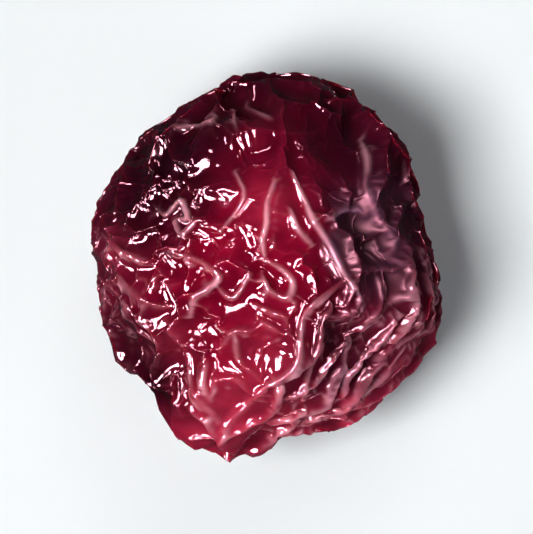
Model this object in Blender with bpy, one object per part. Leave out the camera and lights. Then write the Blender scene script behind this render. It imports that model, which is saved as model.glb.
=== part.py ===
"""A pitted sour cherry, dried until its skin has drawn into folds, lying on its side.

Seen from above, the stem end points towards -Y and the blossom end towards +Y.
Sizes are in millimetres until the mesh is made, which is in metres.
"""

import math

import bmesh
import bpy
import numpy as np
from mathutils import Vector, noise

MM = 0.001

# The body is a plump, uneven pebble: its radii from above, evenly spaced anticlockwise from +X,
# and its rise over and under the widest line
OUTLINE = (6.85, 6.55, 7.2, 7.4, 7.75, 7.35, 7.45, 7.35, 7.15, 7.35, 7.15, 7.95, 7.45, 7.15, 7.15, 7.5)
RISE_ABOVE = 5.5
RISE_BELOW = 5.0
PLUMPNESS = 2.25
FACE_CUTS = 29

# Flat spot that the fruit rests on
REST_DEPTH = 0.4
REST_RADIUS = 3.2

# Ends of the fruit, on the body, as plan place and height over the widest line
STEM_END = (-2.1, -7.5, -0.9)
BLOSSOM_END = (0.3, 7.5, -0.5)
STEM_LIP = 0.35
STEM_LIP_RADIUS = 2.2
STEM_PIT = 1.3
STEM_PIT_RADIUS = 0.95
BLOSSOM_PIT = 0.6
BLOSSOM_PIT_RADIUS = 1.0

# Pleats that gather at both ends: they fade in a little way out, and are gone past the reach
PLEATS = 9
STEM_PLEAT_RISE = 0.30
BLOSSOM_PLEAT_RISE = 0.16
PLEAT_REACH = 5.0
PLEAT_FADE_IN = 2.1
PLEAT_DECAY = 2.2
PLEAT_WANDER = 1.6
PLEAT_WANDER_SIZE = 2.2

# Net of small ridges, where the skin has shrunk on to the flesh
NET_CELL = 2.1
NET_RISE = 0.85
NET_CREST = 0.34
NET_SHARPNESS = 1.5
NET_LEVEL = 0.3
NET_WARP = 0.55
NET_WARP_SIZE = 1.7
NET_UNEVEN = 0.4
NET_UNEVEN_SIZE = 2.5
LUMP_SIZE = 4.5
LUMP_RISE = 0.30

# Unless it is set, Blender takes the clock for this, and the net comes out different each time
NOISE_SEED = 1796086593

# Broad hollows and swellings on the upper side: x, y, radius, depth (negative depth swells)
HOLLOWS = (
    (4.1, 0.9, 1.8, 0.70),
    (3.3, -3.6, 1.8, 0.50),
    (-3.9, 3.2, 2.4, 0.12),
    (-4.4, -3.6, 1.7, 0.12),
    (2.7, 5.0, 1.8, 0.40),
    (-0.8, 2.4, 2.4, -0.40),
    (-0.6, -3.4, 1.8, -0.30),
    (5.9, -1.6, 1.3, -0.30),
)

# Long folds of skin on the upper side: points in plan, then rise and half width
FOLDS = (
    (((1.5, 4.0), (2.1, 1.9), (3.2, -0.3), (4.0, -1.9)), 0.60, 0.42),
    (((4.0, -1.9), (2.1, -2.1), (1.4, -3.4), (0.6, -4.8), (-1.7, -6.9)), 0.65, 0.42),
    (((4.0, 5.4), (4.4, 3.0), (4.8, 1.7), (5.7, -0.7)), 0.50, 0.46),
    (((-3.7, -3.0), (-3.0, -4.6), (-2.6, -5.8), (-1.8, -7.0)), 0.55, 0.40),
    (((0.1, 3.6), (0.05, 2.1), (-0.15, 0.6)), 0.45, 0.34),
    (((-2.3, -5.4), (-1.4, -4.9), (-0.5, -5.1)), 0.30, 0.34),
    (((0.1, -2.8), (-1.3, -2.9), (-1.2, -3.8), (-0.5, -4.3)), 0.34, 0.34),
    (((-3.7, 0.4), (-2.0, -0.3), (-2.7, -1.2), (-3.1, -2.1)), 0.34, 0.36),
    (((-6.6, 1.3), (-5.9, 0.3), (-4.9, -1.4), (-3.7, -1.9)), 0.36, 0.38),
    (((-2.2, 6.6), (-2.6, 4.8), (-2.3, 3.0), (-3.0, 1.4)), 0.34, 0.42),
    (((0.3, 0.3), (1.0, -0.9), (0.6, -2.0)), 0.34, 0.36),
)

# Long folds of the underside and the flanks, as plan points on the lower half
UNDER_FOLDS = (
    (((-5.9, 2.9), (-4.6, 0.8), (-4.9, -1.8), (-3.4, -4.4)), 0.50, 0.50),
    (((5.8, 3.0), (4.9, 1.0), (5.4, -1.4), (3.6, -4.6)), 0.50, 0.50),
    (((-3.0, 6.1), (-1.2, 4.6), (1.5, 4.8), (3.4, 5.4)), 0.40, 0.45),
)

# Share of its fade that a fold has at its very ends
FOLD_ENDS = 0.08

# Skin drawn tight, where the net is weak: x, y, radius
TAUT = ((-1.0, 2.9, 2.0), (3.0, 4.3, 1.5))
TAUT_SHARE = 0.75

SKIN = (0.235, 0.010, 0.030)


def smooth_between(a, b, c, d, t):
    """Where a smooth line has come to on its way from b to c, with a before them and d after."""
    bend = 2 * a - 5 * b + 4 * c - d
    return 0.5 * (2 * b + (c - a) * t + bend * t**2 + (3 * b - a - 3 * c + d) * t**3)


def outline_radius(azimuth):
    """Radius of the body from above, a smooth closed line through OUTLINE."""
    step = 2 * math.pi / len(OUTLINE)
    place = azimuth / step
    index = math.floor(place)
    radii = (OUTLINE[(index + k) % len(OUTLINE)] for k in (-1, 0, 1, 2))
    return smooth_between(*radii, place - index)


def body_point(direction):
    """Where the smooth body's surface is, in a direction from its middle."""
    flat = math.hypot(direction.x, direction.y)
    size = (flat**PLUMPNESS + abs(direction.z) ** PLUMPNESS) ** (-1 / PLUMPNESS)
    radius = size * outline_radius(math.atan2(direction.y, direction.x))
    rise = RISE_ABOVE if direction.z > 0 else RISE_BELOW
    return Vector((direction.x * radius, direction.y * radius, direction.z * size * rise))


def above(x, y, side=1):
    """The body's surface over a plan point, or under it where side is -1."""
    share = math.hypot(x, y) / outline_radius(math.atan2(y, x))
    height = max(0.0, 1 - min(share, 1.0) ** PLUMPNESS) ** (1 / PLUMPNESS)
    return Vector((x, y, height * (RISE_ABOVE if side > 0 else -RISE_BELOW)))


def smooth_line(points, steps=8):
    """A line through the points without corners."""
    padded = [2 * points[0] - points[1], *points, 2 * points[-1] - points[-2]]
    line = []
    for a, b, c, d in zip(padded, padded[1:], padded[2:], padded[3:]):
        line += [smooth_between(a, b, c, d, k / steps) for k in range(steps)]
    return np.array([*line, points[-1]])


def fold_rise(places, fold, side):
    """Height of one fold at each place: a narrow crest that fades at both ends."""
    plan, rise, width = fold
    line = smooth_line([np.array(above(x, y, side)) for x, y in plan])
    start, run = line[:-1], np.diff(line, axis=0)
    along = np.einsum("psk,sk->ps", places[:, None] - start, run) / (run**2).sum(axis=1)
    along = along.clip(0, 1)
    gap = np.linalg.norm(places[:, None] - start - along[..., None] * run, axis=2)
    nearest = gap.argmin(axis=1)
    rows = np.arange(len(places))
    share = (nearest + along[rows, nearest]) / len(run)
    fade = np.sqrt(np.sin(math.pi * (FOLD_ENDS + (1 - 2 * FOLD_ENDS) * share)))
    crest = gap[rows, nearest] / width
    return rise * fade * np.exp(-crest) * (1 + crest)


def net_rise(place, cell):
    """From 0 to 1: the ridges between patches of skin, which wander and differ in strength."""
    drift = noise.noise_vector(place / (NET_WARP_SIZE * cell)) * NET_WARP * cell
    near, beyond = noise.voronoi((place + drift) / cell)[0][:2]
    strength = 1 - NET_UNEVEN + NET_UNEVEN * noise.noise(place / (NET_UNEVEN_SIZE * cell))
    return strength * math.exp(-(((beyond - near) / NET_CREST) ** NET_SHARPNESS))


def pleat_rise(place, end, inward):
    """From -1 to 1: pleats that run out from one end of the fruit, strongest near it."""
    offset = place - end
    across = inward.orthogonal().normalized()
    turn = math.atan2(offset.dot(inward.cross(across)), offset.dot(across))
    wander = PLEAT_WANDER * noise.noise(place / PLEAT_WANDER_SIZE)
    crest = 1 - abs(math.sin(0.5 * PLEATS * turn + wander))
    start = min(1.0, offset.length / PLEAT_FADE_IN) ** 3
    return (2 * crest - 1) * start * math.exp(-PLEAT_DECAY * (offset.length / PLEAT_REACH) ** 2)


def dimple(place, middle, radius):
    """From 0 to 1: how near a place is to the middle of a round pit or lip."""
    return math.exp(-(((place - middle).length / radius) ** 2))


def wrinkled(bm):
    """Raises the folds and presses in the hollows, along the smooth body's own normals."""
    noise.seed_set(NOISE_SEED)
    bm.normal_update()
    places = np.array([v.co for v in bm.verts])
    rise = np.zeros(len(places))
    for fold in FOLDS:
        rise = rise + fold_rise(places, fold, 1)
    for fold in UNDER_FOLDS:
        rise = rise + fold_rise(places, fold, -1)
    for x, y, radius, depth in HOLLOWS:
        gap = np.linalg.norm(places - np.array(above(x, y)), axis=1)
        rise = rise - depth * np.exp(-((gap / radius) ** 2))

    stem, blossom = Vector(STEM_END), Vector(BLOSSOM_END)
    for vert, folds in zip(bm.verts, rise.tolist()):
        place = vert.co.copy()
        taut = max(dimple(place, above(x, y), radius) for x, y, radius in TAUT)
        loose = 1 - TAUT_SHARE * taut
        height = folds + LUMP_RISE * noise.noise(place / LUMP_SIZE)
        height += NET_RISE * loose * (net_rise(place, NET_CELL) - NET_LEVEL)
        height += STEM_PLEAT_RISE * pleat_rise(place, stem, -stem.normalized())
        height += BLOSSOM_PLEAT_RISE * pleat_rise(place, blossom, -blossom.normalized())
        height += STEM_LIP * dimple(place, stem, STEM_LIP_RADIUS)
        height -= STEM_PIT * dimple(place, stem, STEM_PIT_RADIUS)
        height -= BLOSSOM_PIT * dimple(place, blossom, BLOSSOM_PIT_RADIUS)
        under = math.hypot(place.x, place.y) / REST_RADIUS
        if place.z < 0 and under < 1:
            height *= under**2
        vert.co = place + height * vert.normal


def dried_cherry():
    """One closed skin: a cube divided finely, drawn to the body's shape, then wrinkled."""
    bm = bmesh.new()
    bmesh.ops.create_cube(bm, size=2)
    bmesh.ops.subdivide_edges(bm, edges=bm.edges, cuts=FACE_CUTS, use_grid_fill=True)
    for vert in bm.verts:
        # The tangent spaces the points evenly once they are on a ball
        even = Vector([math.tan(c * math.pi / 4) for c in vert.co])
        vert.co = body_point(even.normalized())
    wrinkled(bm)

    floor = min(v.co.z for v in bm.verts) + REST_DEPTH
    for vert in bm.verts:
        vert.co.z = max(vert.co.z, floor)
    low = [min(v.co[k] for v in bm.verts) for k in range(3)]
    high = [max(v.co[k] for v in bm.verts) for k in range(3)]
    middle = Vector(((low[0] + high[0]) / 2, (low[1] + high[1]) / 2, low[2]))
    for vert in bm.verts:
        vert.co = (vert.co - middle) * MM

    bmesh.ops.triangulate(bm, faces=bm.faces)
    mesh = bpy.data.meshes.new("dried_cherry")
    bm.to_mesh(mesh)
    bm.free()
    mesh.shade_smooth()
    return bpy.data.objects.new("dried_cherry", mesh)


def skin_material():
    """Dark wine-red skin with the low gloss of fruit sugar."""
    material = bpy.data.materials.new("dried_cherry_skin")
    material.use_nodes = True
    shader = material.node_tree.nodes["Principled BSDF"]
    shader.inputs["Base Color"].default_value = (*SKIN, 1)
    shader.inputs["Roughness"].default_value = 0.32
    shader.inputs["Subsurface Weight"].default_value = 0.3
    shader.inputs["Subsurface Scale"].default_value = 0.8 * MM
    return material


def main():
    for obj in list(bpy.data.objects):
        bpy.data.objects.remove(obj)
    collection = bpy.data.collections.new("dried_cherry")
    bpy.context.scene.collection.children.link(collection)
    fruit = dried_cherry()
    fruit.data.materials.append(skin_material())
    collection.objects.link(fruit)


main()
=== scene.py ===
import math
import time

import bmesh
import bpy
import numpy as np
from mathutils import Euler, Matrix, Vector, noise
from mathutils.bvhtree import BVHTree


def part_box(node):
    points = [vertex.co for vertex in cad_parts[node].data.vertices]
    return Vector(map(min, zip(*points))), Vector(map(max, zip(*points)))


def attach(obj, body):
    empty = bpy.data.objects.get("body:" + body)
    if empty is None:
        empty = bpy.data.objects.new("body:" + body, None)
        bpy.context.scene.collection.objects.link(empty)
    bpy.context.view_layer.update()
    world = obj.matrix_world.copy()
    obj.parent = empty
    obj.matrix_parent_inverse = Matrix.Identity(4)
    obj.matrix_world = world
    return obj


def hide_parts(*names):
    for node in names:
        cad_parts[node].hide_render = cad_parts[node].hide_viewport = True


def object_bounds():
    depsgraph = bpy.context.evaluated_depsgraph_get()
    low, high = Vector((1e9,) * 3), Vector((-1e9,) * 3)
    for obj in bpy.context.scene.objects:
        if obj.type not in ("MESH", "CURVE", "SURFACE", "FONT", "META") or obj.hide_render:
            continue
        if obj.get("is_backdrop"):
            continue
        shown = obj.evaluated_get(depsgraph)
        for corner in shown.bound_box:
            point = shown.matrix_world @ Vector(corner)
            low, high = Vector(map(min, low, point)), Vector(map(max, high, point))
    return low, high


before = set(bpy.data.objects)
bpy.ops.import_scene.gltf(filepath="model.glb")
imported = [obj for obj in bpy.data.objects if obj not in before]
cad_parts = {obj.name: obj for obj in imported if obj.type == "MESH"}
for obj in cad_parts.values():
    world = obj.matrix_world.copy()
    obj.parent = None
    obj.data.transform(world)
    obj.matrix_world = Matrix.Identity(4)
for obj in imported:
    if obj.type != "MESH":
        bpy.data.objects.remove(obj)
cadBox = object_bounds()
startTime = time.time()
mm = 0.001  # plan places and relief below are in millimetres
clear = 30  # mm, outside the fruit whichever way it is seen


def report(text):
    print(f"[{time.time() - startTime:5.1f} s] {text}")


# Room: a pale table, soft windows that light the skin, and small lamps that only show in its gloss
room = {
    "tableColour": (0.82, 0.855, 0.87),
    "tableSide": 3.0,
    "tableRoughness": 0.6,
    "ceiling": (0.008, 0.009, 0.010),
    "horizon": (0.05, 0.055, 0.06),
    "backdrop": (0.93, 0.94, 0.95),
    "airRise": (0.05, 0.65),  # heights on the unit sphere between which the horizon fades
    # name: place in metres, side, power in watts, colour
    "windows": {
        "windowLeft": ((-0.36, -0.13, 0.80), 0.40, 8.8, (1.0, 0.995, 0.99)),
        "windowRear": ((0.10, 0.54, 0.66), 0.34, 1.0, (1.0, 1.0, 1.0)),
        "fillRight": ((0.66, -0.36, 0.34), 0.50, 0.9, (0.94, 0.90, 1.0)),
    },
    # the same again for each lamp
    "lamps": {
        "lampLeft": ((-0.34, 0.02, 0.84), 0.28, 56.0, (1.0, 1.0, 1.0)),
        "lampRear": ((-0.10, 0.44, 0.72), 0.09, 2.6, (1.0, 1.0, 1.0)),
        "lampFront": ((-0.48, -0.34, 0.58), 0.20, 28.0, (1.0, 1.0, 1.0)),
        "lampNear": ((0.16, -0.12, 0.86), 0.14, 10.0, (1.0, 1.0, 1.0)),
        "lampLow": ((-0.70, -0.18, 0.28), 0.18, 18.0, (1.0, 1.0, 1.0)),
    },
    "cameraHeight": 0.34,
    "sensor": 36,
    "frameWidth": 0.0222,
}


def makeRoom(middle):
    bpy.ops.mesh.primitive_plane_add(size=room["tableSide"])
    table = bpy.context.object
    table.name = "table_top"
    paint = bpy.data.materials.new("table_white")
    paint.use_nodes = True
    shader = paint.node_tree.nodes["Principled BSDF"]
    shader.inputs["Base Color"].default_value = (*room["tableColour"], 1)
    shader.inputs["Roughness"].default_value = room["tableRoughness"]
    shader.inputs["Specular IOR Level"].default_value = 0.0
    table.data.materials.append(paint)
    table.visible_glossy = False  # its reflection would lie over the red as a grey haze
    table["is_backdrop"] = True

    for name, (place, side, power, colour) in {**room["windows"], **room["lamps"]}.items():
        lamp = bpy.data.lights.new(name, "AREA")
        lamp.size = side
        lamp.energy = power
        lamp.color = colour
        holder = bpy.data.objects.new(name, lamp)
        holder.location = place
        holder.rotation_euler = (middle - Vector(place)).to_track_quat("-Z", "Y").to_euler()
        holder.visible_camera = False
        # broad windows in the gloss would spread over the red as a haze
        holder.visible_diffuse = name in room["windows"]
        holder.visible_glossy = name in room["lamps"]
        bpy.context.collection.objects.link(holder)


def makeAir():
    # dim overhead and brighter towards the horizon, with a plain pale backdrop for the camera
    air = bpy.data.worlds.new("studio_air")
    air.use_nodes = True
    tree = air.node_tree
    tree.nodes.clear()
    place = tree.nodes.new("ShaderNodeTexCoord")
    split = tree.nodes.new("ShaderNodeSeparateXYZ")
    ramp = tree.nodes.new("ShaderNodeValToRGB")
    for element, height, name in zip(ramp.color_ramp.elements, room["airRise"], ("horizon", "ceiling")):
        element.position = height
        element.color = (*room[name], 1)
    lit = tree.nodes.new("ShaderNodeBackground")
    seen = tree.nodes.new("ShaderNodeBackground")
    seen.inputs["Color"].default_value = (*room["backdrop"], 1)
    rays = tree.nodes.new("ShaderNodeLightPath")
    mix = tree.nodes.new("ShaderNodeMixShader")
    out = tree.nodes.new("ShaderNodeOutputWorld")
    tree.links.new(place.outputs["Generated"], split.inputs[0])
    tree.links.new(split.outputs["Z"], ramp.inputs["Fac"])
    tree.links.new(ramp.outputs["Color"], lit.inputs["Color"])
    tree.links.new(rays.outputs["Is Camera Ray"], mix.inputs["Fac"])
    tree.links.new(lit.outputs[0], mix.inputs[1])
    tree.links.new(seen.outputs[0], mix.inputs[2])
    tree.links.new(mix.outputs[0], out.inputs["Surface"])
    bpy.context.scene.world = air


def makeCamera(middle):
    lens = bpy.data.cameras.new("overhead")
    lens.sensor_width = room["sensor"]
    lens.lens = room["sensor"] * (room["cameraHeight"] - middle.z) / room["frameWidth"]
    lens.clip_start = 0.01
    holder = bpy.data.objects.new("overhead", lens)
    holder.location = (middle.x, middle.y, room["cameraHeight"])
    bpy.context.collection.objects.link(holder)
    bpy.context.scene.camera = holder


# Skin: a fine net over the solid, which grows larger than the flesh below and so buckles into wrinkles
skin = {
    "cuts": 49,  # along each side of an icosahedron, doubled for the short waves
    "quickCuts": 26,
    "turn": (0.35, 0.6, 0.2),
    "smoothing": 4,
    "stride": 0.12,
    # long waves first, then short ones
    "steps": (260, 220),
    "inward": (20.0, 30.0),  # how much harder the flesh is to press than to leave
    "bending": (0.7, 0.2),
    "yield": (0.012, 0.018),  # bend past which the skin creases
    "kept": 0.2,  # share of its stiffness that a crease keeps
    "seed": (0.08, 0.03),  # first unevenness, and its size, as shares of a wave
    "seedSize": 0.4,
    "stretch": (0.15, 0.21),  # growth of the skin
    "growing": 0.5,  # share of the steps over which it grows
    "damping": 0.9,
    "sideways": 0.15,  # how far the flesh holds a point along the skin, as a share of its hold across it
    "mostHold": 2,
    "waves": (1.5, 0.50),  # mm from crest to crest
    "ridgeWidth": (0.24, 0.09),
    "ridgeShare": (0.40, 0.45),
    "ridgeCalm": 0.4,
    "ridgeGrip": (2.0, 2.0),
    "ridgeReach": 6,  # in ridge widths
    "ridgeEnds": 0.06,
    "ridgeRound": 0.3,
    "pressed": 0.12,  # mm pressed flat on the table
}
softShare = 0.6  # of the way to the middle of its neighbours, in each round of softening

# Stretch and waves in each zone, for the long and then the short ones
zoneSkin = {
    "taut": ((0.05, 0.08), (1.6, 0.55)),
    "fine": ((0.12, 0.28), (1.3, 0.46)),
    "red": ((0.10, 0.10), (1.3, 0.55)),
}

# Places on the upper side: x, y, radius, strength. They fade in over a height above the table
upper = {"from": 3, "fade": 2}
zones = {
    "taut": (
        (-1.1, 2.9, 1.8, 1), (-0.5, 1.4, 1.2, 1), (0.9, 2.4, 1.0, 0.8), (3.0, 4.4, 1.7, 1),
        (0.3, 6.6, 1.8, 0.7), (-2.4, 4.9, 1.2, 0.8),
    ),
    "fine": (
        (-6.2, -1.2, 2.4, 1), (-5.2, 2.6, 2.0, 1), (3.8, -4.4, 2.4, 1), (6.3, -1.6, 1.8, 1),
        (-4.2, -5.2, 1.4, 0.6), (5.4, 1.0, 1.6, 0.8),
    ),
    "red": (
        (0.0, 2.4, 2.3, 1), (0.9, -0.2, 1.9, 1), (-1.6, 0.4, 1.9, 0.9), (-1.2, -2.8, 2.5, 1),
        (-3.2, -5.6, 1.8, 0.6), (-1.5, -6.6, 1.5, 0.9), (-4.6, -1.0, 1.7, 0.55), (4.2, -4.4, 2.4, 0.25),
        (0.0, 5.9, 1.5, 0.45), (4.2, -1.4, 1.0, 0.5),
    ),
    # pink patches: partly paler skin, partly painted light and painted highlight on the lower apex, the rim
    # and the left flecks
    "blush_and_painted_light": (
        (-1.9, -6.2, 1.6, 0.75), (0.2, 2.6, 1.1, 0.35), (3.7, -6.2, 1.0, 0.8), (1.2, -7.0, 1.3, 0.8),
        (5.6, -4.7, 0.9, 0.4), (0.0, -3.4, 1.2, 0.35), (0.0, -5.2, 1.1, 0.25), (5.9, -3.0, 1.4, 0.25),
        (-4.0, -3.2, 0.9, 0.4), (-6.0, 0.8, 0.9, 0.5),
    ),
    # dull purple
    "bloom": (
        (4.6, 2.6, 1.6, 1), (4.9, 0.1, 1.6, 0.9), (3.3, 1.3, 1.0, 0.8), (3.6, -4.0, 1.7, 0.4),
        (3.7, -1.8, 1.3, 0.2),
    ),
    # streaks: crests here get pale paint, partly thinner skin and partly painted highlight
    "streaks": (
        (3.6, -4.4, 2.2, 0.6), (1.2, -6.2, 1.6, 0.8), (6.0, -1.8, 1.6, 0.7), (-6.0, -2.0, 1.8, 0.4),
    ),
    # dark patches: partly darker skin, partly painted shade on the upper left, the lower left flank and in
    # hollows
    "dark_skin_and_painted_shade": (
        (-4.3, 4.4, 2.3, 1), (-5.9, 1.9, 1.3, 0.6), (2.9, 5.2, 1.7, 0.7), (-0.4, 7.3, 1.8, 0.8),
        (5.2, 3.3, 1.0, 0.8), (5.2, 1.4, 0.8, 0.7), (3.2, 1.4, 0.6, 0.6), (2.6, -2.9, 0.7, 0.5),
        (4.3, 0.2, 0.8, 0.4), (-5.0, -4.9, 1.8, 1), (-2.0, 5.2, 1.0, 0.4),
    ),
}

# Ridges that stand out, on the upper side: plan points and rise
ridges = (
    (((1.1, 3.8), (1.6, 2.7), (2.0, 1.8), (2.7, 0.7), (3.3, -0.5), (3.95, -1.5), (3.7, -2.15)), 0.34),
    ((
        (3.35, -0.75), (2.75, -1.2), (2.1, -1.65), (1.6, -2.3),
        (1.4, -3.2), (1.3, -4.2), (0.8, -4.85), (0.0, -5.3),
    ), 0.38),
    (((0.0, -5.3), (-0.85, -6.15), (-1.7, -7.0)), 0.36),
    (((-3.75, -3.1), (-3.25, -4.2), (-3.15, -5.2), (-2.8, -6.0), (-2.2, -6.5), (-1.75, -7.2)), 0.38),
    (((-2.5, -4.2), (-2.65, -5.2), (-2.3, -6.0)), 0.26),
    (((-2.25, -5.7), (-2.1, -5.1), (-1.35, -5.05), (-0.85, -5.4)), 0.30),
    (((-1.8, -3.5), (-1.4, -3.0), (-0.6, -2.9)), 0.30),
    (((-1.35, -3.1), (-1.15, -4.2), (-0.5, -4.8)), 0.30),
    (((0.35, 3.5), (0.05, 2.6), (0.0, 1.7), (-0.15, 1.0), (-0.05, 0.2)), 0.30),
    (((-1.3, 3.9), (-0.95, 3.0), (-1.25, 2.2), (-1.9, 1.4)), 0.20),
    (((1.0, 2.3), (1.3, 1.5), (1.9, 0.8)), 0.32),
    (((-0.3, 0.2), (0.5, -0.15), (1.1, -0.8), (0.85, -1.5), (0.15, -1.2), (-0.2, -0.5)), 0.34),
    (((-0.5, -1.8), (0.1, -2.1), (0.8, -2.3)), 0.26),
    (((-0.2, -2.6), (0.5, -2.95)), 0.22),
    (((-2.2, -0.9), (-1.4, -1.5), (-0.7, -0.5)), 0.30),
    (((-3.85, 0.4), (-2.7, 0.0), (-2.0, -0.6), (-2.5, -1.15), (-3.0, -1.5), (-3.2, -2.3)), 0.34),
    (((-4.6, 2.3), (-4.2, 2.1), (-3.6, 2.7), (-3.3, 2.0), (-3.8, 1.8), (-3.5, 1.3), (-3.0, 1.7)), 0.28),
    (((-7.0, 1.2), (-6.2, 0.5), (-5.0, 0.0)), 0.26),
    (((-6.4, -0.3), (-5.8, -1.2), (-4.8, -1.8), (-4.1, -1.9)), 0.36),
    (((-7.0, -0.8), (-6.2, -1.5), (-5.5, -2.8), (-4.7, -3.5)), 0.28),
    (((-1.4, 6.6), (-1.3, 5.9)), 0.22),
    (((-0.8, 6.7), (0.2, 6.2)), 0.24),
    (((-3.7, 5.8), (-2.5, 6.0), (-2.1, 6.3)), 0.22),
    (((4.0, 5.3), (4.25, 4.3), (4.2, 3.3), (4.55, 2.4), (4.9, 1.7), (5.6, 0.9)), 0.32),
    (((2.5, 1.8), (3.3, 2.3), (3.9, 2.3), (4.4, 2.1)), 0.24),
    (((2.3, -2.2), (3.1, -2.3), (3.8, -2.15)), 0.26),
    (((4.7, -0.7), (4.85, -1.65), (4.55, -2.3), (4.1, -2.6)), 0.28),
    (((4.9, -2.0), (5.7, -1.5), (6.5, -1.6)), 0.26),
    (((6.2, 1.0), (6.8, -0.2), (7.0, -1.3)), 0.26),
    (((4.6, 1.0), (4.9, 0.4), (5.4, 0.7), (5.2, 1.3)), 0.22),
    (((-0.6, -6.9), (0.7, -6.8), (2.0, -6.85), (3.4, -6.3), (4.85, -5.2), (6.05, -4.1)), 0.36),
    (((7.0, -2.85), (6.2, -3.2), (5.3, -3.8), (4.8, -4.3)), 0.32),
    (((3.4, -3.0), (3.35, -3.6), (3.3, -4.3)), 0.34),
    (((1.95, -4.3), (1.7, -5.0), (1.5, -5.9)), 0.32),
    (((3.15, -4.6), (2.7, -5.3), (2.5, -6.0)), 0.28),
    (((3.95, -4.4), (3.45, -5.1), (3.2, -5.7)), 0.28),
    (((5.1, -4.4), (4.3, -5.0), (3.7, -5.9)), 0.28),
    (((0.6, -5.3), (0.35, -6.2)), 0.28),
    (((5.9, -2.6), (5.5, -3.1), (5.4, -3.7)), 0.24),
    (((6.6, -2.1), (6.5, -2.9)), 0.22),
    (((5.7, -4.0), (5.1, -4.9), (4.5, -5.5)), 0.26),
    (((4.5, -5.2), (4.1, -5.9)), 0.24),
)

# Where wrinkles keep to one direction: x, y, radius, angle of their crests, stretch
grain = (
    (3.2, -4.9, 2.4, 64, 0.18),
    (5.8, -1.8, 1.9, 78, 0.14),
    (-2.0, -7.0, 2.2, 100, 0.10),
    (-0.2, 6.6, 1.8, 95, 0.06),
)


class Net:
    # one closed net of triangles, with each point's neighbours side by side for fast sums

    def __init__(self, mesh):
        self.mesh = mesh
        self.count = len(mesh.vertices)
        sides = np.empty(len(mesh.edges) * 2, np.int32)
        mesh.edges.foreach_get("vertices", sides)
        links = sides.reshape(-1, 2)
        links = np.concatenate([links, links[:, ::-1]])
        links = links[np.argsort(links[:, 0], kind="stable")]
        self.here, self.there = links[:, 0].copy(), links[:, 1].copy()
        degree = np.bincount(self.here, minlength=self.count)
        self.firsts = np.concatenate([[0], np.cumsum(degree)[:-1]])
        self.share = (1 / degree)[:, None].astype(np.float32)
        corners = np.empty(len(mesh.polygons) * 3, np.int32)
        mesh.polygons.foreach_get("vertices", corners)
        self.triangles = corners.reshape(-1, 3)

    def gather(self, perLink):
        return np.add.reduceat(perLink, self.firsts, axis=0)

    def bend(self, values):
        # from each point to the middle of its neighbours
        return self.gather(values[self.there]) * self.share - values

    def normals(self, points):
        a, b, c = (points[self.triangles[:, k]] for k in range(3))
        across = np.repeat(np.cross(b - a, c - a), 3, axis=0)
        corners = self.triangles.ravel()
        turned = np.stack([np.bincount(corners, across[:, k], self.count) for k in range(3)], 1)
        return (turned / np.linalg.norm(turned, axis=1, keepdims=True)).astype(np.float32)


def ballNet(cuts):
    # an icosahedron with each side cut evenly: near-equal triangles, so that no direction is favoured
    bm = bmesh.new()
    bmesh.ops.create_icosphere(bm, subdivisions=1, radius=1)
    bmesh.ops.rotate(bm, verts=bm.verts, matrix=Euler(skin["turn"]).to_matrix())
    bmesh.ops.subdivide_edges(bm, edges=bm.edges, cuts=cuts - 1, use_grid_fill=True)
    mesh = bpy.data.meshes.new("cherry_skin")
    bm.to_mesh(mesh)
    bm.free()
    return mesh


def drawnOver(mesh, solid):
    # each point of the ball is drawn straight in to the solid's surface
    scale = 1 / mm
    surface = BVHTree.FromPolygons(
        [v.co * scale for v in solid.data.vertices], [p.vertices[:] for p in solid.data.polygons]
    )
    low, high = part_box("dried_cherry")
    middle = (low + high) / 2 * scale
    points = []
    for vert in mesh.vertices:
        away = vert.co.normalized()
        points.append(surface.ray_cast(middle + away * clear, -away)[0])
    return np.array(points, np.float32)


def halved(mesh, points):
    # the same net with every triangle split in four
    mesh.vertices.foreach_set("co", points.ravel())
    bm = bmesh.new()
    bm.from_mesh(mesh)
    bmesh.ops.subdivide_edges(bm, edges=bm.edges, cuts=1, use_grid_fill=True)
    bm.to_mesh(mesh)
    bm.free()
    places = np.empty(len(mesh.vertices) * 3, np.float32)
    mesh.vertices.foreach_get("co", places)
    return places.reshape(-1, 3)


def softened(net, values, rounds):
    for _ in range(rounds):
        values = values + softShare * net.bend(values)
    return values


def near(points, places):
    total = np.zeros(len(points), np.float32)
    for x, y, radius, strength in places:
        total += strength * np.exp(-((points[:, 0] - x) ** 2 + (points[:, 1] - y) ** 2) / radius**2)
    return np.clip(total, 0, 1) * np.clip((points[:, 2] - upper["from"]) / upper["fade"], 0, 1)


def alongGrain(net, points):
    # more growth across the crests than along them, so that wrinkles line up
    link = points[net.there] - points[net.here]
    link /= np.linalg.norm(link, axis=1, keepdims=True)
    extra = np.zeros(len(link), np.float32)
    for x, y, radius, angle, stretch in grain:
        crest = np.array((math.cos(math.radians(angle)), math.sin(math.radians(angle)), 0), np.float32)
        mask = near(points, ((x, y, radius, 1),))[net.here]
        extra += stretch * mask * (1 - 2 * (link @ crest) ** 2)
    return extra


def smoothLine(corners, steps=6):
    corners = [np.array(c, float) for c in corners]
    padded = [2 * corners[0] - corners[1], *corners, 2 * corners[-1] - corners[-2]]
    line = []
    for a, b, c, d in zip(padded, padded[1:], padded[2:], padded[3:]):
        for t in np.arange(steps) / steps:
            bend = (2 * a - 5 * b + 4 * c - d) * t**2 + (3 * b - a - 3 * c + d) * t**3
            line.append(0.5 * (2 * b + (c - a) * t + bend))
    return np.array([*line, corners[-1]])


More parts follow.
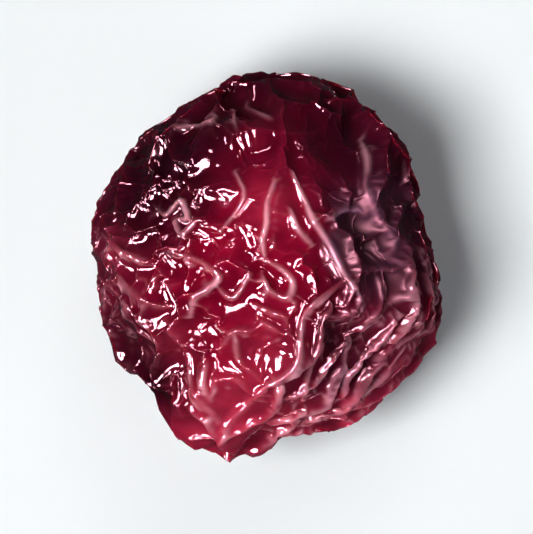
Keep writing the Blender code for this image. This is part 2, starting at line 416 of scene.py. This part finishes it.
def ridgeField(net, points, width):
    # how far each point is lifted by the ridges that pass it, and which way the nearest one runs
    surface = BVHTree.FromPolygons(points.tolist(), net.triangles.tolist())
    lift = np.zeros(net.count, np.float32)
    course = np.zeros((net.count, 3), np.float32)
    ends = skin["ridgeEnds"]
    top = skin["ridgeRound"]
    for corners, rise in ridges:
        plan = smoothLine(corners)
        line = [surface.ray_cast(Vector((x, y, clear)), Vector((0, 0, -1)))[0] for x, y in plan]
        line = np.array([p for p in line if p is not None], np.float32)
        reach = np.linalg.norm(points - line.mean(axis=0), axis=1)
        span = np.linalg.norm(line - line.mean(axis=0), axis=1).max()
        close = np.flatnonzero(reach < span + skin["ridgeReach"] * width)
        start, run = line[:-1], np.diff(line, axis=0)
        gap = np.full(len(close), clear, np.float32)
        share = np.zeros(len(close), np.float32)
        way = np.zeros((len(close), 3), np.float32)
        for k in range(len(run)):
            t = np.clip((points[close] - start[k]) @ run[k] / (run[k] @ run[k]), 0, 1)
            here = np.linalg.norm(points[close] - start[k] - t[:, None] * run[k], axis=1)
            nearer = here < gap
            share[nearer] = (k + t[nearer]) / len(run)
            way[nearer] = run[k] / np.linalg.norm(run[k])
            gap[nearer] = here[nearer]
        fade = np.sqrt(np.sin(math.pi * (ends + (1 - 2 * ends) * share)))
        height = rise * fade * np.exp(top - np.sqrt((gap / width) ** 2 + top**2))
        higher = height > lift[close]
        lift[close[higher]] = height[higher]
        course[close[higher]] = way[higher]
    return lift, course


def grown(net, start, growth, wave, grip, stage):
    # springs along the links, stiffness against bending, and flesh that holds each point back
    bending = skin["bending"][stage]
    inward = skin["inward"][stage]
    steps = skin["steps"][stage]
    normals = net.normals(start)
    restBend = net.bend(start)
    gap = np.linalg.norm(start[net.there] - start[net.here], axis=1)
    # a sheet of this stiffness on flesh of this hold buckles with just this wave
    hold = (grip * bending / 16 / (wave / gap.mean() / (2 * math.pi)) ** 4).astype(np.float32)
    sideways = skin["sideways"] * hold
    drift = Vector((7.1 * stage, 0, 0))
    sizes = skin["seedSize"] * wave.astype(float)
    seed = [noise.noise(Vector(p) / size + drift) for p, size in zip(start.tolist(), sizes.tolist())]
    points = start + normals * (skin["seed"][stage] * np.array(seed, np.float32) * wave)[:, None]
    speed = np.zeros_like(points)
    for step in range(steps):
        ramp = min(1.0, (step + 1) / (skin["growing"] * steps))
        link = points[net.there] - points[net.here]
        length = np.sqrt(np.einsum("ij,ij->i", link, link))
        link *= (1 - gap * (1 + growth * ramp) / length)[:, None]
        force = net.gather(link)
        bent = net.bend(points) - restBend
        sharp = np.sqrt(1 + np.einsum("ij,ij->i", bent, bent) / skin["yield"][stage] ** 2)
        bent *= (skin["kept"] + (1 - skin["kept"]) / sharp)[:, None]
        force -= bending * net.bend(bent)
        moved = points - start
        rise = np.einsum("ij,ij->i", moved, normals)
        push = np.minimum(np.where(rise < 0, inward, 1).astype(np.float32) * hold, skin["mostHold"])
        force -= ((push - sideways) * rise)[:, None] * normals + sideways[:, None] * moved
        speed = skin["damping"] * speed + skin["stride"] * force
        points = points + speed
    return points, rise


def stageOf(net, points, stage):
    lift, course = ridgeField(net, points, skin["ridgeWidth"][stage])
    lift = softened(net, lift[:, None], 1)[:, 0]  # a crest as narrow as the net would come out as teeth
    points = points + net.normals(points) * (skin["ridgeShare"][stage] * lift)[:, None]
    growth = np.full(net.count, skin["stretch"][stage], np.float32)
    wave = np.full(net.count, skin["waves"][stage], np.float32)
    for name in ("red", "fine", "taut"):
        mask = near(points, zones[name])
        stretch, length = zoneSkin[name]
        growth += mask * (stretch[stage] - growth)
        wave += mask * (length[stage] - wave)

    # the skin at a ridge hardly grows along it, so that no short wrinkles cross its crest
    crest = lift / lift.max()
    link = points[net.there] - points[net.here]
    link /= np.linalg.norm(link, axis=1, keepdims=True)
    along = (link * course[net.here]).sum(axis=1) ** 2
    growth = growth[net.here] * (1 - skin["ridgeCalm"] * along * crest[net.here])
    growth = (growth + alongGrain(net, points)).astype(np.float32)
    return grown(net, points, growth, wave, 1 + skin["ridgeGrip"][stage] * crest, stage)


def makeSkin():
    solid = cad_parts["dried_cherry"]
    cuts = skin["cuts"]
    mesh = ballNet(cuts)
    points = drawnOver(mesh, solid)
    net = Net(mesh)
    points = softened(net, points, skin["smoothing"])
    report(f"net of {net.count} points over the solid")
    points, rise = stageOf(net, points, 0)
    report(f"long wrinkles, {rise.min():.2f} to {rise.max():.2f} mm")
    points = halved(mesh, points)
    net = Net(mesh)
    points, rise = stageOf(net, softened(net, points, 1), 1)
    points = softened(net, points, 1)  # takes away ripples as narrow as the net
    report(f"short wrinkles, {rise.min():.2f} to {rise.max():.2f} mm")

    # back to metres, and to the solid's own box and the flat that it rests on
    low, high = (np.array(corner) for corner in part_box("dried_cherry"))
    floor = points[:, 2].min() + skin["pressed"]
    points[:, 2] = np.maximum(points[:, 2], floor)
    size = points.max(axis=0) - points.min(axis=0)
    points = low + (points - points.min(axis=0)) / size * (high - low)
    mesh.vertices.foreach_set("co", points.astype(np.float32).ravel())
    mesh.update()
    mesh.shade_smooth()
    cherry = bpy.data.objects.new("cherry_skin", mesh)
    bpy.context.collection.objects.link(cherry)
    return cherry, net


# What is painted on the points. Lengths are in mm; a patch has its usual share, its swing by chance
# and its most
paint = {
    "seed": 2,  # unless it is set, Blender takes the clock, and the patches change from run to run
    "wander": (1.4, 0.5),  # size and reach of the unevenness of each edge
    "below": {"from": 2, "fade": 2.5},  # heights under which patches fall by chance
    "chanceSize": 4,
    "redChance": (0.25, 1.5, 0.8),
    "bloomChance": (0.0, 2.0, 0.5),
    "darkChance": (0.0, 1.6, 0.8),
    # pale paint on the ridges' crests, partly thinner skin and partly painted highlight
    "ridgeWidth": 0.14,
    "ridgeRise": 0.3,  # the rise at which a ridge is at its palest
    "streakShare": 0.6,
    "paleShare": (0.9, 1.2, 0.35),  # usual, swing and least
    "paleCrest": 1.6,
    "paleInDark": 0.5,
    "crestFull": 2,
    "crestInDark": 0.7,
    # softening rounds and depth for the painted shade in hollows
    "hollowRounds": 40,
    "paintedHollowShadeFull": 0.15,
}


def noiseAt(points, size):
    return np.array([noise.noise_vector(Vector(p) / size) for p in points.tolist()], np.float32)


def paintZones(cherry, net):
    # what the finish reads from each point: where it is, and whether it is a crest or a hollow
    points = np.empty(net.count * 3, np.float32)
    cherry.data.vertices.foreach_get("co", points)
    points = points.reshape(-1, 3) / mm
    normals = net.normals(points)
    spacing = np.linalg.norm(net.bend(points), axis=1).mean()
    crest = softened(net, -(net.bend(points) * normals).sum(axis=1, keepdims=True), 1)[:, 0] / spacing
    # depth of each point below its softened neighbours: where painted shade darkens the hollows
    depth = ((softened(net, points, paint["hollowRounds"]) - points) * normals).sum(axis=1)
    noise.seed_set(paint["seed"])
    size, reach = paint["wander"]
    wander = noiseAt(points, size)
    wandered = points + reach * wander
    # darker skin and painted shade
    dark_skin_and_painted_shade = near(wandered, zones["dark_skin_and_painted_shade"])

    # round the sides and below, patches fall by chance
    below = 1 - np.clip((points[:, 2] - paint["below"]["from"]) / paint["below"]["fade"], 0, 1)
    chance = noiseAt(points, paint["chanceSize"])

    def byChance(name, values):
        usual, swing, most = paint[name]
        return below * np.clip(usual + swing * values, 0, most)

    # the crests of the ridges and of the streaks are painted pale, unevenly so: partly thinner skin, partly
    # painted highlight
    lift = ridgeField(net, points, paint["ridgeWidth"])[0]
    streaks = paint["streakShare"] * near(wandered, zones["streaks"])
    pale_and_painted_highlight = np.maximum(np.clip(lift / paint["ridgeRise"], 0, 1), streaks)
    usual, swing, least = paint["paleShare"]
    pale_and_painted_highlight *= np.clip(usual + swing * wander[:, 2], least, 1) * np.clip(paint["paleCrest"] * crest, 0, 1)
    pale_and_painted_highlight *= 1 - paint["paleInDark"] * dark_skin_and_painted_shade
    pale_and_painted_highlight = softened(net, pale_and_painted_highlight[:, None], 1)[:, 0]
    layers = {
        "red_zone": np.maximum(near(wandered, zones["red"]), byChance("redChance", chance[:, 0])),
        # paler skin, and painted light and highlight
        "blush_and_painted_light_zone": near(wandered, zones["blush_and_painted_light"]),
        "bloom_zone": np.maximum(near(wandered, zones["bloom"]), byChance("bloomChance", chance[:, 1])),
        "dark_skin_and_painted_shade_zone": np.maximum(dark_skin_and_painted_shade, byChance("darkChance", chance[:, 2])),
        # convex crests, painted paler: partly thinner skin, partly painted highlight
        "crest": np.clip(crest / paint["crestFull"], 0, 1) * (1 - paint["crestInDark"] * dark_skin_and_painted_shade),
        "pale_ridge_and_painted_highlight": pale_and_painted_highlight,
        # painted shade, fullest deep in the hollows
        "painted_hollow_shade": np.clip(depth / paint["paintedHollowShadeFull"], 0, 1),
    }
    for name, values in layers.items():
        layer = cherry.data.attributes.new(name, "FLOAT", "POINT")
        layer.data.foreach_set("value", values.astype(np.float32))
    report(f"zones painted, depth to {depth.max():.2f} mm")


# Finish: colours, each laid over the ones before it, then gloss, relief and the glow of the flesh
finish = {
    "skin": (0.072, 0.0030, 0.014),
    "red": (0.27, 0.003, 0.025),
    # paler skin, and painted light and highlight
    "blush_and_painted_light": (0.60, 0.040, 0.095),
    # darker skin, and painted shade
    "dark_skin_and_painted_shade": (0.020, 0.0014, 0.0055),
    "bloom": (0.050, 0.0055, 0.022),
    # crests painted paler: partly thinner skin, partly painted highlight
    "crest": (0.55, 0.040, 0.11),
    "crestPaleAndPaintedHighlightShare": 0.14,
    # pale crest lines: partly thinner skin, partly painted highlight
    "pale_ridge_and_painted_highlight": (1.0, 0.46, 0.56),
    "bloomRidge": (0.42, 0.20, 0.32),
    "ridgeShare": 0.92,
    # painted shade in the hollows, and blotches of uneven tone, darken what is under them
    "painted_hollow_shade": (0.35, 0.25, 0.30),
    "paintedHollowShadeShare": 0.80,
    "blotch": (0.40, 0.34, 0.42),
    "blotchShare": 0.40,
    "blotchSize": 1.8,  # mm
    "blotchEdge": (0.48, 0.62),
    "sheen": 0.35,
    "sheenTint": (1.0, 0.38, 0.50),
    # roughness over most of the skin and where it is dull purple
    "gloss": (0.04, 0.09),
    "matte": (0.42, 0.60),
    "glossSize": 0.8,  # mm
    "glossEdge": (0.35, 0.65),
    "distortion": 0.4,
    # fine crinkles, then pores: size and depth in mm
    "crinkles": (0.5, 0.010),
    "pores": (0.09, 0.0020),
    "glow": 0.35,
    "glowReach": (1.0, 0.2, 0.15),
    "glowScale": 0.5,  # mm
}


def makeFinish():
    material = bpy.data.materials.new("dried_cherry_skin")
    material.use_nodes = True
    tree = material.node_tree
    shader = tree.nodes["Principled BSDF"]

    def node(kind, **values):
        made = tree.nodes.new(kind)
        for key, value in values.items():
            if key in made.inputs:
                made.inputs[key].default_value = value
            else:
                setattr(made, key, value)
        return made

    def layer(name):
        return node("ShaderNodeAttribute", attribute_name=name).outputs["Fac"]

    def scaled(value, factor):
        made = node("ShaderNodeMath", operation="MULTIPLY", use_clamp=True)
        tree.links.new(value, made.inputs[0])
        made.inputs[1].default_value = factor
        return made.outputs[0]

    def blended(share, under, over, kind="MIX"):
        made = node("ShaderNodeMix", data_type="RGBA", blend_type=kind)
        tree.links.new(share, made.inputs["Factor"])
        for socket, value in ((made.inputs["A"], under), (made.inputs["B"], over)):
            if isinstance(value, tuple):
                socket.default_value = (*value, 1)
            else:
                tree.links.new(value, socket)
        return made.outputs["Result"]

    def grains(size, detail, kind="FBM"):
        made = node("ShaderNodeTexNoise", noise_type=kind)
        made.inputs["Scale"].default_value = 1 / (size * mm)
        made.inputs["Detail"].default_value = detail
        made.inputs["Distortion"].default_value = finish["distortion"]
        tree.links.new(place.outputs["Object"], made.inputs["Vector"])
        return made.outputs["Fac"]

    def ranged(value, low, high, bottom=0.0, top=1.0):
        made = node("ShaderNodeMapRange")
        tree.links.new(value, made.inputs["Value"])
        made.inputs["From Min"].default_value = bottom
        made.inputs["From Max"].default_value = top
        for socket, end in (("To Min", low), ("To Max", high)):
            if isinstance(end, float):
                made.inputs[socket].default_value = end
            else:
                tree.links.new(end, made.inputs[socket])
        return made.outputs["Result"]

    def relief(height, depth, under=None):
        made = node("ShaderNodeBump")
        made.inputs["Strength"].default_value = 1
        made.inputs["Distance"].default_value = depth * mm
        tree.links.new(height, made.inputs["Height"])
        if under:
            tree.links.new(under, made.inputs["Normal"])
        return made.outputs["Normal"]

    place = node("ShaderNodeTexCoord")
    colour = blended(layer("red_zone"), finish["skin"], finish["red"])
    # pink patches: paler skin, and painted light and highlight
    colour = blended(layer("blush_and_painted_light_zone"), colour, finish["blush_and_painted_light"])
    # darker skin and painted shade
    colour = blended(layer("dark_skin_and_painted_shade_zone"), colour, finish["dark_skin_and_painted_shade"])
    colour = blended(layer("bloom_zone"), colour, finish["bloom"])
    blotches = ranged(grains(finish["blotchSize"], 3), 0.0, finish["blotchShare"], *finish["blotchEdge"])
    colour = blended(blotches, colour, finish["blotch"], "MULTIPLY")
    # painted shade in the hollows
    colour = blended(scaled(layer("painted_hollow_shade"), finish["paintedHollowShadeShare"]), colour, finish["painted_hollow_shade"], "MULTIPLY")
    # crests painted paler, partly as painted highlight
    colour = blended(scaled(layer("crest"), finish["crestPaleAndPaintedHighlightShare"]), colour, finish["crest"])
    # pale ridge lines, partly as painted highlight
    crests = blended(layer("bloom_zone"), finish["pale_ridge_and_painted_highlight"], finish["bloomRidge"])
    colour = blended(scaled(layer("pale_ridge_and_painted_highlight"), finish["ridgeShare"]), colour, crests)
    tree.links.new(colour, shader.inputs["Base Color"])

    uneven = grains(finish["glossSize"], 2)
    glossy = ranged(uneven, *finish["gloss"], *finish["glossEdge"])
    matte = ranged(uneven, *finish["matte"], *finish["glossEdge"])
    tree.links.new(ranged(layer("bloom_zone"), glossy, matte), shader.inputs["Roughness"])

    size, depth = finish["crinkles"]
    crinkles = relief(grains(size, 3, "RIDGED_MULTIFRACTAL"), depth)
    size, depth = finish["pores"]
    tree.links.new(relief(grains(size, 2), depth, crinkles), shader.inputs["Normal"])

    shader.inputs["Specular IOR Level"].default_value = finish["sheen"]
    shader.inputs["Specular Tint"].default_value = (*finish["sheenTint"], 1)
    shader.inputs["Subsurface Weight"].default_value = finish["glow"]
    shader.inputs["Subsurface Radius"].default_value = finish["glowReach"]
    shader.inputs["Subsurface Scale"].default_value = finish["glowScale"] * mm
    return material


bpy.context.scene.view_settings.view_transform = "Standard"
centre = (cadBox[0] + cadBox[1]) / 2
makeRoom(centre)
makeAir()
makeCamera(centre)
report("room, light and camera")

cherry, net = makeSkin()
paintZones(cherry, net)
cherry.data.materials.clear()
cherry.data.materials.append(makeFinish())
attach(cherry, "root")
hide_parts("dried_cherry")

sizes = {"cad": [list(corner) for corner in cadBox], "visual": [list(corner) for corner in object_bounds()]}
report(f"sizes {sizes}")
